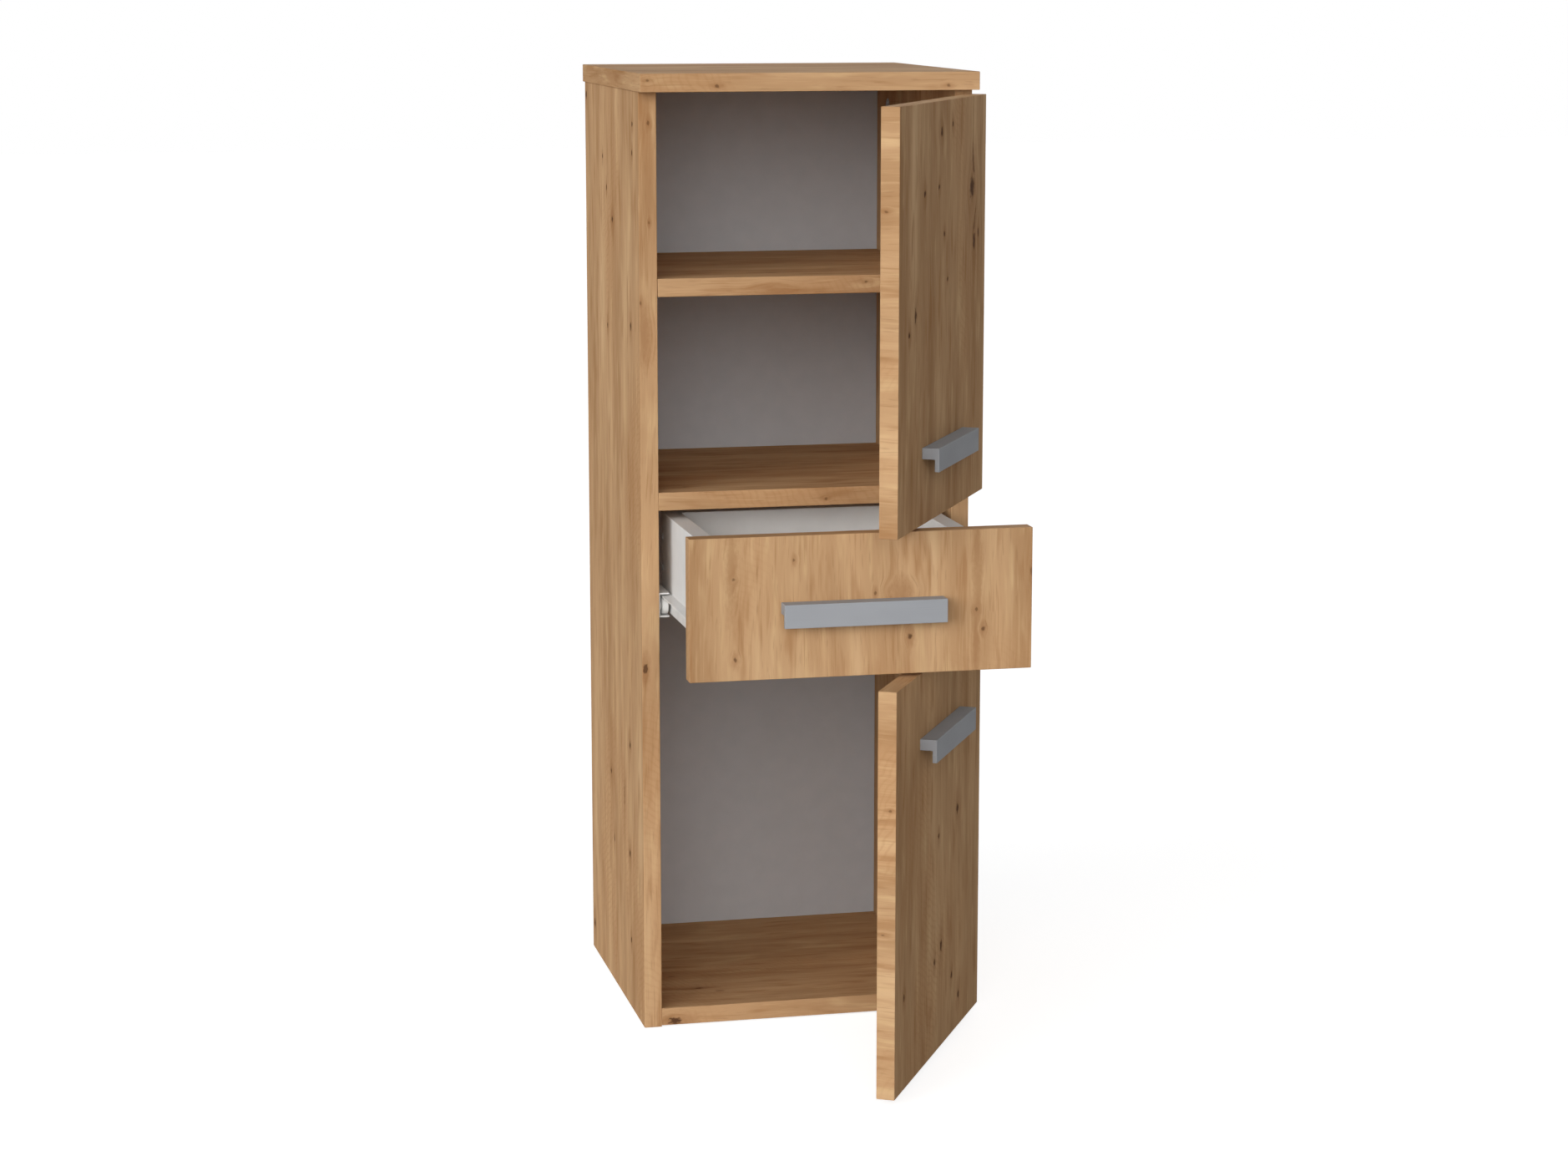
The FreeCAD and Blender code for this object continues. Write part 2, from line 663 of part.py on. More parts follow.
def make_cabinet_rail(name, side):
    """The channel on a side panel, with a roller at its front end."""
    label = name + "_cabinet_rail"
    reach = inner - rail_reach
    web = inner - s.rail_sheet
    points = [(inner, channel_low), (inner, channel_high), (reach, channel_high),
              (reach, channel_high - s.rail_sheet), (web, channel_high - s.rail_sheet),
              (web, channel_low + s.rail_sheet), (reach, channel_low + s.rail_sheet), (reach, channel_low)]
    channel = section(label + "_channel", "XZ_Plane", [(side * x, z) for x, z in points], s.rail_length,
                      (0, cabinet_rail_rear, 0))
    add_axle("cabinet_roller_axles", label, side * web, cabinet_roller_y, outward(-side))
    make_roller(name + "_cabinet_roller", side * web, cabinet_roller_y, outward(-side))
    first = cabinet_rail_front + s.rail_screw_setback
    last = cabinet_rail_rear - s.rail_screw_setback
    for y in spaced(first, last, SCREWS_PER_CABINET_RAIL):
        seat = (side * web, y, roller_z)
        pieces = [label, name + "_side_panel"]
        add_screw("cabinet_rail_screws", pieces, seat, outward(side), wood_screw, flat_head)
    node(label, channel)


def make_drawer_rail(name, side):
    """The rail under a drawer side, with a roller at its rear end."""
    label = name + "_drawer_rail"
    reach = drawer_half + rail_reach
    web = drawer_half + s.rail_sheet
    seat_edge = drawer_half - s.rail_seat
    points = [(seat_edge, rail_low), (web, rail_low), (web, rail_high - s.rail_sheet),
              (reach, rail_high - s.rail_sheet), (reach, rail_high), (drawer_half, rail_high),
              (drawer_half, drawer_bottom), (seat_edge, drawer_bottom)]
    rail = section(label + "_strip", "XZ_Plane", [(side * x, z) for x, z in points], s.rail_length,
                   (0, drawer_rail_rear, 0))
    add_axle("drawer_roller_axles", label, side * web, drawer_roller_y, outward(side))
    make_roller(name + "_drawer_roller", side * web, drawer_roller_y - drawer_travel, outward(side))
    first = drawer_rail_front + s.rail_screw_setback
    last = drawer_rail_rear - s.rail_screw_setback
    for y in spaced(first, last, SCREWS_PER_DRAWER_RAIL):
        seat = (side * drawer_side_middle, y, rail_low)
        add_screw("drawer_rail_screws", [label, f"drawer_{name}_side"], seat, "+z", wood_screw, flat_head)
    node(label, rail, slide_open)


def make_runners():
    """Both roller runners."""
    for name, side in SIDES.items():
        make_cabinet_rail(name, side)
        make_drawer_rail(name, side)
    for label in ("cabinet_rail_screws", "cabinet_roller_axles"):
        group(label)
    for label in ("drawer_rail_screws", "drawer_roller_axles"):
        group(label, slide_open)


def fix_drawer():
    """Cams, dowels and screws that hold the drawer box together, and the groove for its bottom."""
    cam_z = drawer_top - s.drawer_cam_drop
    for name, side in SIDES.items():
        board = f"drawer_{name}_side"
        joint_x = side * drawer_side_middle
        add_cam("drawer", "drawer_front", board, (joint_x, front_inner, cam_z), "+y", outward(-side))
        for z in (cam_z - s.drawer_dowel_spacing, cam_z + s.drawer_dowel_spacing):
            add_dowel("drawer_dowels", ["drawer_front", board], (joint_x, front_inner, z), "+y")
        for inset in (s.drawer_screw_inset, s.drawer_screw_inset + s.drawer_screw_spacing):
            seat = (side * drawer_half, drawer_rear - s.board / 2, drawer_top - inset)
            shank = (s.screw_radius, s.long_screw_length)
            add_screw("drawer_back_screws", [board, "drawer_back"], seat, outward(-side), shank, pan_head)
    for x in spaced(-drawer_inner / 2, drawer_inner / 2, SCREWS_PER_DRAWER_BOTTOM):
        seat = (x, drawer_rear - s.board / 2, panel_low)
        pieces = ["drawer_bottom", "drawer_back"]
        add_screw("drawer_bottom_screws", pieces, seat, "+z", wood_screw, flat_head)
    groove_half = drawer_inner + s.groove_depth
    groove = box("drawer_groove", (-groove_half, front_inner - s.groove_depth, panel_low - s.groove_gap),
                 (groove_half, drawer_rear, panel_high + s.groove_gap))
    for label in ("drawer_front", "drawer_left_side", "drawer_right_side"):
        holes[label].append(groove)
    for kind in ("dowels", "cam_bolts", "cam_locks", "back_screws", "bottom_screws"):
        group("drawer_" + kind, slide_open)


def make_drawer():
    """The drawer front with its handle, and the four boards of the box."""
    make_handle("drawer", "drawer_front", drawer_middle, slide_open)
    node("drawer_front", box("drawer_front_board", (-front_half, front_outer, drawer_front_bottom),
                             (front_half, front_inner, drawer_front_top)), slide_open)
    for name, side in SIDES.items():
        low_x, high_x = span(side, drawer_inner, drawer_half)
        label = f"drawer_{name}_side"
        node(label, box(label + "_board", (low_x, front_inner, drawer_bottom),
                        (high_x, drawer_rear, drawer_top)), slide_open)
    node("drawer_back", box("drawer_back_board", (-drawer_inner, drawer_rear - s.board, panel_high),
                            (drawer_inner, drawer_rear, drawer_top)), slide_open)
    panel_half = drawer_inner + s.groove_depth - s.groove_gap
    panel_front = front_inner - s.groove_depth + s.groove_gap
    node("drawer_bottom", box("drawer_bottom_board", (-panel_half, panel_front, panel_low),
                              (panel_half, drawer_rear, panel_high)), slide_open)


def check_and_write():
    """Stop on any failed object, then write each sub-part to its own file."""
    doc.recompute()
    failed = [item.Name for item in doc.Objects if {"Invalid", "Error"} & set(item.State)]
    failed += [item.Label for item in nodes if item.Shape.isNull() or not item.Shape.isValid()]
    if failed:
        raise RuntimeError("failed objects: " + ", ".join(failed))
    os.makedirs("parts", exist_ok=True)
    for item in nodes:
        item.Shape.exportStep(f"parts/{item.Label}.step")
    print(len(nodes), "sub-parts written")


fix_carcass()
make_doors()
make_runners()
make_carcass()
fix_drawer()
make_drawer()
check_and_write()
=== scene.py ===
import json
import math

import bmesh
import bpy
from mathutils import Matrix, Vector

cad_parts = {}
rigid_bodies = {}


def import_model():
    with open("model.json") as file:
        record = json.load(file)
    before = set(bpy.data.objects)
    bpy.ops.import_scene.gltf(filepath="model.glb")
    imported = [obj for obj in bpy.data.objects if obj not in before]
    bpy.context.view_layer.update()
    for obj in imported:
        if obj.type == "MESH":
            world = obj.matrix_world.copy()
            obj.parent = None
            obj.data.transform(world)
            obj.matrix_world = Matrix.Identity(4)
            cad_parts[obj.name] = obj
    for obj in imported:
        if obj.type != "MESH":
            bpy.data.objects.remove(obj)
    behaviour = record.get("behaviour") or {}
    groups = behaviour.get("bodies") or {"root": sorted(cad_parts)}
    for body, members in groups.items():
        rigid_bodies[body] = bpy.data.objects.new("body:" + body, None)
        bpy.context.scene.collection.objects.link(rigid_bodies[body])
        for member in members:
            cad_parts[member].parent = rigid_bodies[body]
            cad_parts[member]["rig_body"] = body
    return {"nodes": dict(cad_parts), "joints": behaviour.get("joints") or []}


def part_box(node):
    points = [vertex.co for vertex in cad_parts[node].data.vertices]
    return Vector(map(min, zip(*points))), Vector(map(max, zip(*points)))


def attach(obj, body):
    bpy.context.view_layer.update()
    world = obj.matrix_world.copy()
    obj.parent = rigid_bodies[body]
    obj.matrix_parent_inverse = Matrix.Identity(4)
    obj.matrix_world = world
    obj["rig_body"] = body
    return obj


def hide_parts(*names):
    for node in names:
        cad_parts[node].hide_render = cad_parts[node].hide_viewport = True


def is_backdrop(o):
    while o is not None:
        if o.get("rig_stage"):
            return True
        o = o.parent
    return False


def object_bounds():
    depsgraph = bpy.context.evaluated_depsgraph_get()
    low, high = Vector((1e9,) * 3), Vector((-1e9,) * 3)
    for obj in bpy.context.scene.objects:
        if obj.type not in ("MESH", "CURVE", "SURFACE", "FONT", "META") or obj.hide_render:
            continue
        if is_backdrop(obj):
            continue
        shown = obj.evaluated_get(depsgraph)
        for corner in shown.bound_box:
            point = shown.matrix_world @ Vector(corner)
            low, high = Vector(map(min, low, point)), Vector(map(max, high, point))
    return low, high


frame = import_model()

# A narrow bathroom cabinet in knotty oak decor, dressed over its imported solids.
# Metres, +Z up, front towards -Y.
# The doors rest open, so their pieces are worked on in the shut layout and then turned back.

cad_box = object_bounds()
nodes = frame["nodes"]
scene = bpy.context.scene
X, Y, Z = range(3)
# Millimetres in a metre
MILLIMETRES = 1000
DOORS = ("upper_door", "lower_door")

# Boards: the axis that the grain runs along
OAK_GRAIN = {
    "left_side_panel": Z,
    "right_side_panel": Z,
    "top_panel": X,
    "bottom_panel": X,
    "middle_shelf": X,
    "upper_shelf": X,
    "drawer_front": Z,
    "upper_door_panel": Z,
    "lower_door_panel": Z,
}
WHITE_GRAIN = {
    "back_panel": Z,
    "drawer_left_side": Y,
    "drawer_right_side": Y,
    "drawer_back": X,
    "drawer_bottom": Y,
}
# The faces of a board: the axis and the direction that each looks along
FACES = {
    "left": (X, -1), "right": (X, 1),
    "front": (Y, -1), "rear": (Y, 1),
    "under": (Z, -1), "over": (Z, 1),
}
# How far the noise of one face is set apart from the next
APART = 7.3
# How far apart the faces lie for a knot, so that it shows on its own face alone
KNOT_APART = 1000.0
# Handles have no knots, so they share one seed, past those of the boards
HANDLE_SEED = 200

# Widths of the broken edges
BOARD_ROUND = 0.0005
HANDLE_ROUND = 0.0004
HARDWARE_ROUND = 0.00015
ROUND_SEGMENTS = 2
# Vertices this close are one, and a vertex this close to a plane lies in it
WELD = 1e-6
TOUCH = 1e-5
# Faces that meet at less than FLAT are joined, and an edge is shaded sharp past SHARP
FLAT = math.radians(1)
SHARP = math.radians(25)
# The least angle of an edge that is broken, and the least length on a handle, which leaves out its bores
HANDLE_EDGE_ANGLE = math.radians(30)
HANDLE_EDGE_LENGTH = 0.002
HARDWARE_EDGE_ANGLE = math.radians(40)

# A screw's domed head from its middle outwards, in shares of its radius and height
DOME = ((0.0, 1.0), (0.35, 0.97), (0.62, 0.88), (0.84, 0.68), (0.96, 0.4), (1.0, 0.1))

# Light: an even part, and soft glows, each a direction and a peak
# A glow fades out where the cosine of the angle from its middle falls to its rim
EVEN_LIGHT = 0.16
GLOWS = {
    "left": ((-0.797, -0.558, 0.23), 5.8),
    "front": ((-0.207, -0.942, 0.265), 4.2),
    "behind": ((0.43, 0.901, 0.05), 4.6),
}
GLOW_RIM = 0.88
# The colour of the light, and of the floor to the camera
WHITE = (1.0, 1.0, 1.0, 1.0)

# Floor: how far it reaches, how far it lies below the feet, its grey and its own brightness to the camera
FLOOR_REACH = 15.0
FLOOR_DROP = 0.0003
FLOOR_GREY = (0.6, 0.6, 0.6, 1.0)
FLOOR_SHINE = 0.78

# Camera: its place, its turn to the right and upwards, and its sensor and lens in millimetres
CAMERA_PLACE = (-0.6919, -3.2497, 0.947)
CAMERA_YAW = math.radians(12.74)
CAMERA_PITCH = math.radians(-10.18)
SENSOR_WIDTH = 36.0
FOCAL_LENGTH = 79.36

# Knots of each board: face, place across and along the grain, half width and half length, in millimetres
KNOTS = {
    "left_side_panel": [
        ("left", -146, 722, 4.5, 4), ("left", -248, 787, 3.5, 3.5), ("left", -250, 812, 3.5, 3),
        ("left", -236, 633, 4.5, 5), ("left", -97, 776, 3, 3), ("left", -117, 749, 3, 3.5),
        ("left", -10, 829, 5, 5), ("left", -117, 623, 3, 3.5), ("left", -216, 249, 4.5, 5),
        ("left", -212, 146, 4.5, 5), ("left", -216, 65, 3.5, 4), ("left", -14, 26, 5, 6),
        ("left", -115, 202, 3.5, 3.5), ("left", -185, 196, 2, 14), ("left", -130, 140, 2.5, 5),
        ("front", -141, 814, 1.6, 2.4), ("front", -141, 728, 1.0, 1.6), ("front", -149, 658, 1.4, 2.2),
        ("front", -147, 332, 2.6, 5),
    ],
    "top_panel": [
        ("front", 851, -145, 1.6, 2.0), ("front", 846, -84, 1.9, 2.2), ("front", 845, 123, 1.6, 2.0),
        ("over", -150, -60, 2.5, 16), ("over", -215, 70, 2.0, 11), ("over", -80, 110, 2.2, 9),
    ],
    "bottom_panel": [("front", 5, -122, 4.5, 7.5), ("over", -225, -90, 2.0, 6)],
    "middle_shelf": [("front", 480, 18, 1.6, 2.0), ("over", -250, -104, 1.6, 4)],
    "upper_shelf": [("front", 673, 54, 1.7, 2.4), ("over", -238, -22, 2.2, 8)],
    "drawer_front": [
        ("front", -110, 447, 1.7, 1.9), ("front", -59, 462, 1.6, 1.7), ("front", 11, 431, 1.5, 2.1),
        ("front", -109, 379, 2.2, 2.4), ("front", 41, 393, 2.8, 3.6), ("front", 105, 397, 2.1, 2.4),
        ("front", 99, 414, 1.6, 1.9), ("front", 147, 444, 1.4, 5),
    ],
    "upper_door_panel": [
        ("front", -10, 811, 4.5, 5), ("front", 28, 816, 3, 3.5), ("front", 98, 758, 10, 12),
        ("front", 100, 780, 1.8, 22), ("front", 107, 711, 5, 9), ("front", 106, 730, 1.6, 16),
        ("front", 120, 717, 4, 5), ("front", -18, 765, 3, 3), ("front", -66, 762, 3.5, 4),
        ("front", 1, 725, 3, 3), ("front", 13, 686, 3, 2.5), ("front", -94, 664, 4.5, 8),
        ("front", -114, 650, 3.5, 4), ("left", 753, -287, 1.6, 2.2),
    ],
    "lower_door_panel": [
        ("front", 65, 210, 5, 6), ("front", 9, 99, 4.5, 7), ("front", -14, 90, 3.5, 4),
        ("front", 48, 61, 3.5, 4), ("front", 74, 36, 4, 5), ("front", -118, 88, 3.5, 4),
        ("front", -2, 201, 3, 3.5), ("left", 257, -293, 1.4, 1.6), ("left", 150, -287, 1.6, 2.6),
    ],
    "right_side_panel": [
        ("right", -180, 700, 2.4, 9), ("right", -70, 520, 1.8, 6), ("right", -220, 330, 2.2, 8),
        ("right", -120, 160, 1.6, 6), ("left", -150, 590, 2.0, 8), ("left", -90, 240, 1.8, 7),
    ],
}

# Brown stains without a dark core, in the same form
STAINS = {
    "left_side_panel": [("front", -146, 628, 4, 9)],
    "upper_shelf": [("front", 666, -30, 4, 8)],
    "drawer_front": [
        ("front", 99, 466, 2.5, 14), ("front", 100, 432, 2.2, 12), ("front", 99, 385, 2.0, 12),
        ("front", 33, 432, 6, 4), ("front", -112, 455, 3.5, 14),
    ],
}


# Node trees

def add(tree, kind, inputs=None, **settings):
    """One shader node, each input linked to a socket or set to a plain value."""
    node = tree.nodes.new("ShaderNode" + kind)
    for name, value in settings.items():
        setattr(node, name, value)
    for key, value in (inputs or {}).items():
        if isinstance(value, bpy.types.NodeSocket):
            tree.links.new(value, node.inputs[key])
        else:
            node.inputs[key].default_value = value
    return node


def maths(tree, operation, *values):
    """The result of one math node."""
    return add(tree, "Math", dict(enumerate(values)), operation=operation).outputs[0]


def vectors(tree, operation, *values):
    """The vector that one vector math node gives."""
    return add(tree, "VectorMath", dict(enumerate(values)), operation=operation).outputs["Vector"]


def measures(tree, operation, *values):
    """The number that one vector math node gives."""
    return add(tree, "VectorMath", dict(enumerate(values)), operation=operation).outputs["Value"]


def noise(tree, place, repeats, detail=2.0, roughness=0.5):
    """Noise from 0 to 1, with its number of repeats a metre along each axis."""
    inputs = {"Vector": vectors(tree, "MULTIPLY", place, repeats), "Scale": 1.0}
    inputs.update({"Detail": detail, "Roughness": roughness})
    return add(tree, "TexNoise", inputs).outputs["Fac"]


def grain_noise(tree, place, across, along, **look):
    """Noise on a board's face, with its number of repeats a metre across and along the grain."""
    return noise(tree, place, (across, along, APART), **look)


def even_noise(tree, place, repeats, **look):
    """Noise with one number of repeats a metre along all axes."""
    return noise(tree, place, (repeats, repeats, repeats), **look)


def eased(tree, value, low, high, start=0.0, end=1.0):
    """A number that goes smoothly from start to end while the value goes from low to high."""
    inputs = {"Value": value, "From Min": low, "From Max": high, "To Min": start, "To Max": end}
    return add(tree, "MapRange", inputs, interpolation_type="SMOOTHSTEP").outputs["Result"]


def centred(tree, value, span):
    """A number from 0 to 1 spread over a span about zero."""
    return maths(tree, "MULTIPLY_ADD", value, span, -span / 2)


def mixed(tree, factor, first, second):
    """Two colours put together."""
    return add(tree, "Mix", {0: factor, 6: first, 7: second}, data_type="RGBA").outputs[2]


def tinted(tree, tone, value, low, high, strength, shade):
    """A tone taken towards a shade while a value goes from low to high, as far as a strength."""
    return mixed(tree, eased(tree, value, low, high, end=strength), tone, shade)


def ramp(tree, factor, stops):
    """A colour looked up along a row of stops."""
    node = add(tree, "ValToRGB", {"Fac": factor})
    elements = node.color_ramp.elements
    elements[0].position, elements[0].color = stops[0]
    elements[1].position, elements[1].color = stops[-1]
    for place, shade in stops[1:-1]:
        elements.new(place).color = shade
    return node.outputs["Color"]


def colour(red, green, blue):
    """A shader colour from 8-bit display values."""
    channels = [channel / 255 for channel in (red, green, blue)]
    return tuple(((c + 0.055) / 1.055) ** 2.4 if c > 0.04045 else c / 12.92 for c in channels) + (1.0,)


def new_material(name, inputs):
    """An empty material with one glossy surface, and that surface's node."""
    material = bpy.data.materials.new(name)
    material.use_nodes = True
    tree = material.node_tree
    tree.nodes.clear()
    surface = add(tree, "BsdfPrincipled", inputs)
    add(tree, "OutputMaterial", {"Surface": surface.outputs["BSDF"]})
    return material, tree, surface


def grain_place(tree):
    """Where a point lies across and along its board's grain, with the seed of its face."""
    return add(tree, "Attribute", attribute_name="grain").outputs["Vector"]


def solid_place(tree):
    """Where a point lies in the object."""
    return add(tree, "TexCoord").outputs["Object"]


def link_inputs(tree, surface, values):
    """Link results to the inputs of a surface, by their names."""
    for name, value in values.items():
        tree.links.new(value, surface.inputs[name])


def bump(tree, surface, height, depth, strength=0.5):
    """Relief on a surface, its depth in metres."""
    node = add(tree, "Bump", {"Height": height, "Distance": depth, "Strength": strength})
    tree.links.new(node.outputs["Normal"], surface.inputs["Normal"])


# Oak decor

def make_knot_group():
    """A node group that darkens one knot and bends the grain round it.

    Distances are in half widths and half lengths of the knot. The halo reaches twice as far along the grain.
    """
    tree = bpy.data.node_groups.new("knot", "ShaderNodeTree")
    for name, kind in {"Place": "Vector", "Core": "Float", "Halo": "Float"}.items():
        for side in ("INPUT", "OUTPUT"):
            tree.interface.new_socket(name, in_out=side, socket_type="NodeSocket" + kind)
    for name, kind in {"Centre": "Vector", "Reach": "Vector", "Darkness": "Float"}.items():
        tree.interface.new_socket(name, in_out="INPUT", socket_type="NodeSocket" + kind)
    given = tree.nodes.new("NodeGroupInput").outputs
    passed_on = tree.nodes.new("NodeGroupOutput").inputs

    offset = vectors(tree, "SUBTRACT", given["Place"], given["Centre"])
    stretched = vectors(tree, "MULTIPLY", offset, given["Reach"])
    distance = measures(tree, "LENGTH", stretched)
    drawn_out = measures(tree, "LENGTH", vectors(tree, "MULTIPLY", stretched, (1.0, 0.5, 1.0)))
    ragged = centred(tree, grain_noise(tree, given["Place"], across=520.0, along=210.0), span=1.6)

    across = add(tree, "SeparateXYZ", {0: offset}).outputs["X"]
    push = maths(tree, "MULTIPLY", across, eased(tree, distance, 4.0, 0.5, end=-0.8))
    push = add(tree, "CombineXYZ", {"X": push}).outputs["Vector"]
    tree.links.new(vectors(tree, "ADD", given["Place"], push), passed_on["Place"])

    core = eased(tree, maths(tree, "ADD", distance, ragged), 1.0, 0.4)
    core = maths(tree, "MULTIPLY", core, given["Darkness"])
    tree.links.new(maths(tree, "MAXIMUM", given["Core"], core), passed_on["Core"])
    halo = eased(tree, maths(tree, "ADD", drawn_out, ragged), 2.4, 0.3)
    tree.links.new(maths(tree, "MAXIMUM", given["Halo"], halo), passed_on["Halo"])
    return tree


knot_group = make_knot_group()


def face_number(axis, side):
    """A number from 0 to 5 for the face that looks along an axis to one side."""
    return axis * 2 + (side > 0)


def first_seed(board):
    """The seed of a board's first face, which sets its figure apart from those of other boards."""
    return (list(OAK_GRAIN) + list(WHITE_GRAIN)).index(board) * len(FACES)


def knot_darkness(half_width):
    """How dark a knot's core is: small knots are paler than large ones."""
    return min(1.0, 0.2 + half_width / 4)


def add_knots(tree, place, board):
    """The place as the knots of a board bend it, and their dark cores and brown halos."""
    marks = {"Place": place, "Core": 0.0, "Halo": 0.0}
    listed = [(*knot, knot_darkness(knot[3])) for knot in KNOTS.get(board, [])]
    listed += [(*stain, 0.0) for stain in STAINS.get(board, [])]
    for face, across, along, half_width, half_length, darkness in listed:
        seed = first_seed(board) + face_number(*FACES[face])
        knot = {
            "Centre": (across / MILLIMETRES, along / MILLIMETRES, seed),
            "Reach": (MILLIMETRES / half_width, MILLIMETRES / half_length, KNOT_APART),
            "Darkness": darkness,
        }
        results = add(tree, "Group", {**knot, **marks}, node_tree=knot_group).outputs
        marks = {name: results[name] for name in marks}
    return marks["Place"], marks["Core"], marks["Halo"]


def oak_curl(tree, place, flush):
    """Short ripples aslant to the grain, where the wood is flushed."""
    aslant, sway_depth = (500.0, 900.0, 0.0), 14.0
    slope = measures(tree, "DOT_PRODUCT", place, aslant)
    sway = grain_noise(tree, place, across=60.0, along=40.0)
    ripples = maths(tree, "SINE", maths(tree, "MULTIPLY_ADD", sway, sway_depth, slope))
    strength = eased(tree, flush, 0.52, 0.66, end=0.22)
    return maths(tree, "MULTIPLY", eased(tree, ripples, 0.0, 1.0), strength)


def oak_tone(tree, place, bent):
    """The colour of the wood between its marks, and its fibres."""
    bands = grain_noise(tree, bent, across=24.0, along=2.6, detail=3.0, roughness=0.55)
    tone = ramp(tree, bands, [
        (0.30, colour(168, 129, 91)), (0.45, colour(185, 147, 108)), (0.57, colour(196, 158, 118)),
        (0.72, colour(213, 178, 137)),
    ])
    flush = grain_noise(tree, place, across=9.0, along=3.5)
    tone = tinted(tree, tone, flush, 0.45, 0.75, strength=0.4, shade=colour(188, 140, 96))
    streaks = grain_noise(tree, bent, across=85.0, along=13.0, roughness=0.6)
    tone = tinted(tree, tone, streaks, 0.47, 0.27, strength=0.62, shade=colour(160, 116, 76))
    tone = tinted(tree, tone, streaks, 0.54, 0.74, strength=0.5, shade=colour(214, 180, 136))
    tone = mixed(tree, oak_curl(tree, place, flush), tone, colour(168, 124, 82))
    fibres = grain_noise(tree, bent, across=520.0, along=18.0, roughness=0.6)
    tone = tinted(tree, tone, fibres, 0.45, 0.25, strength=0.5, shade=colour(160, 118, 78))
    tone = tinted(tree, tone, fibres, 0.55, 0.75, strength=0.3, shade=colour(214, 180, 136))
    return tone, fibres


def oak_specks(tree, bent):
    """Small flecks, one in some of the cells that a face is split into."""
    spread = vectors(tree, "MULTIPLY", bent, (17.0, 7.0, APART))
    cells = add(tree, "TexVoronoi", {"Vector": spread, "Scale": 1.0})
    chance = add(tree, "SeparateColor", {0: cells.outputs["Color"]}).outputs["Red"]
    size = eased(tree, chance, 0.55, 1.0, end=0.04)
    specks = eased(tree, maths(tree, "SUBTRACT", cells.outputs["Distance"], size), 0.012, -0.012)
    return maths(tree, "MULTIPLY", specks, maths(tree, "GREATER_THAN", chance, 0.6))


def make_oak(board):
    """Knotty oak decor: bands, streaks, curl, fibres, pores, specks and the board's own knots."""
    material, tree, surface = new_material("oak_" + board, {"Specular IOR Level": 0.01})
    place = grain_place(tree)
    knotted, core, halo = add_knots(tree, place, board)
    slow = centred(tree, grain_noise(tree, place, across=3.0, along=1.3), span=0.05)
    wavy = centred(tree, grain_noise(tree, place, across=22.0, along=9.0), span=0.006)
    bend = add(tree, "CombineXYZ", {"X": maths(tree, "ADD", slow, wavy)}).outputs["Vector"]
    bent = vectors(tree, "ADD", knotted, bend)

    tone, fibres = oak_tone(tree, place, bent)
    pores = grain_noise(tree, bent, across=800.0, along=60.0, detail=0.0)
    pores = eased(tree, pores, 0.70, 0.82)
    marks = [
        (pores, 0.18, colour(126, 90, 58)),
        (oak_specks(tree, bent), 0.5, colour(112, 76, 48)),
        (halo, 0.45, colour(146, 100, 62)),
        (core, 0.9, colour(80, 53, 37)),
    ]
    for mark, strength, shade in marks:
        tone = mixed(tree, maths(tree, "MULTIPLY", mark, strength), tone, shade)
    roughness = eased(tree, fibres, 0.2, 0.8, start=0.78, end=0.64)
    link_inputs(tree, surface, {"Base Color": tone, "Roughness": roughness})
    grooves = maths(tree, "MULTIPLY_ADD", core, 0.6, pores)
    bump(tree, surface, maths(tree, "SUBTRACT", fibres, grooves), depth=0.00012)
    return material


# Other finishes

def make_coated_board(name, dark, light):
    """Coated board in a plain colour, with a faint pearl texture."""
    material, tree, surface = new_material(name, {"Specular IOR Level": 0.15})
    place = grain_place(tree)
    cloud = grain_noise(tree, place, across=60.0, along=60.0)
    shade = ramp(tree, cloud, [(0.25, dark), (0.75, light)])
    pearl = grain_noise(tree, place, across=1700.0, along=1700.0)
    roughness = eased(tree, pearl, 0.3, 0.7, start=0.5, end=0.62)
    link_inputs(tree, surface, {"Base Color": shade, "Roughness": roughness})
    bump(tree, surface, pearl, depth=0.00004, strength=0.35)
    return material


def make_raw_board():
    """Bare particle board, seen where a board is bored."""
    material, tree, surface = new_material("raw_board", {"Roughness": 0.85})
    chips = add(tree, "TexVoronoi", {"Vector": solid_place(tree), "Scale": 520.0}).outputs["Color"]
    chance = add(tree, "SeparateColor", {0: chips}).outputs["Red"]
    shades = [(0.0, colour(128, 95, 62)), (0.5, colour(178, 143, 98)), (1.0, colour(206, 178, 136))]
    link_inputs(tree, surface, {"Base Color": ramp(tree, chance, shades)})
    bump(tree, surface, chance, depth=0.0003)
    return material


def make_satin_grey():
    """Grey satin aluminium with fine lines along the bar."""
    material, tree, surface = new_material("satin_grey", {"Specular IOR Level": 0.03})
    place = grain_place(tree)
    brushed = grain_noise(tree, place, across=2600.0, along=14.0, detail=3.0)
    cloud = grain_noise(tree, place, across=30.0, along=12.0)
    shade = ramp(tree, cloud, [(0.3, colour(154, 156, 160)), (0.7, colour(162, 164, 168))])
    shade = tinted(tree, shade, brushed, 0.4, 0.2, strength=0.35, shade=colour(132, 135, 140))
    roughness = eased(tree, brushed, 0.2, 0.8, start=0.52, end=0.66)
    link_inputs(tree, surface, {"Base Color": shade, "Roughness": roughness})
    bump(tree, surface, brushed, depth=0.00003, strength=0.4)
    return material


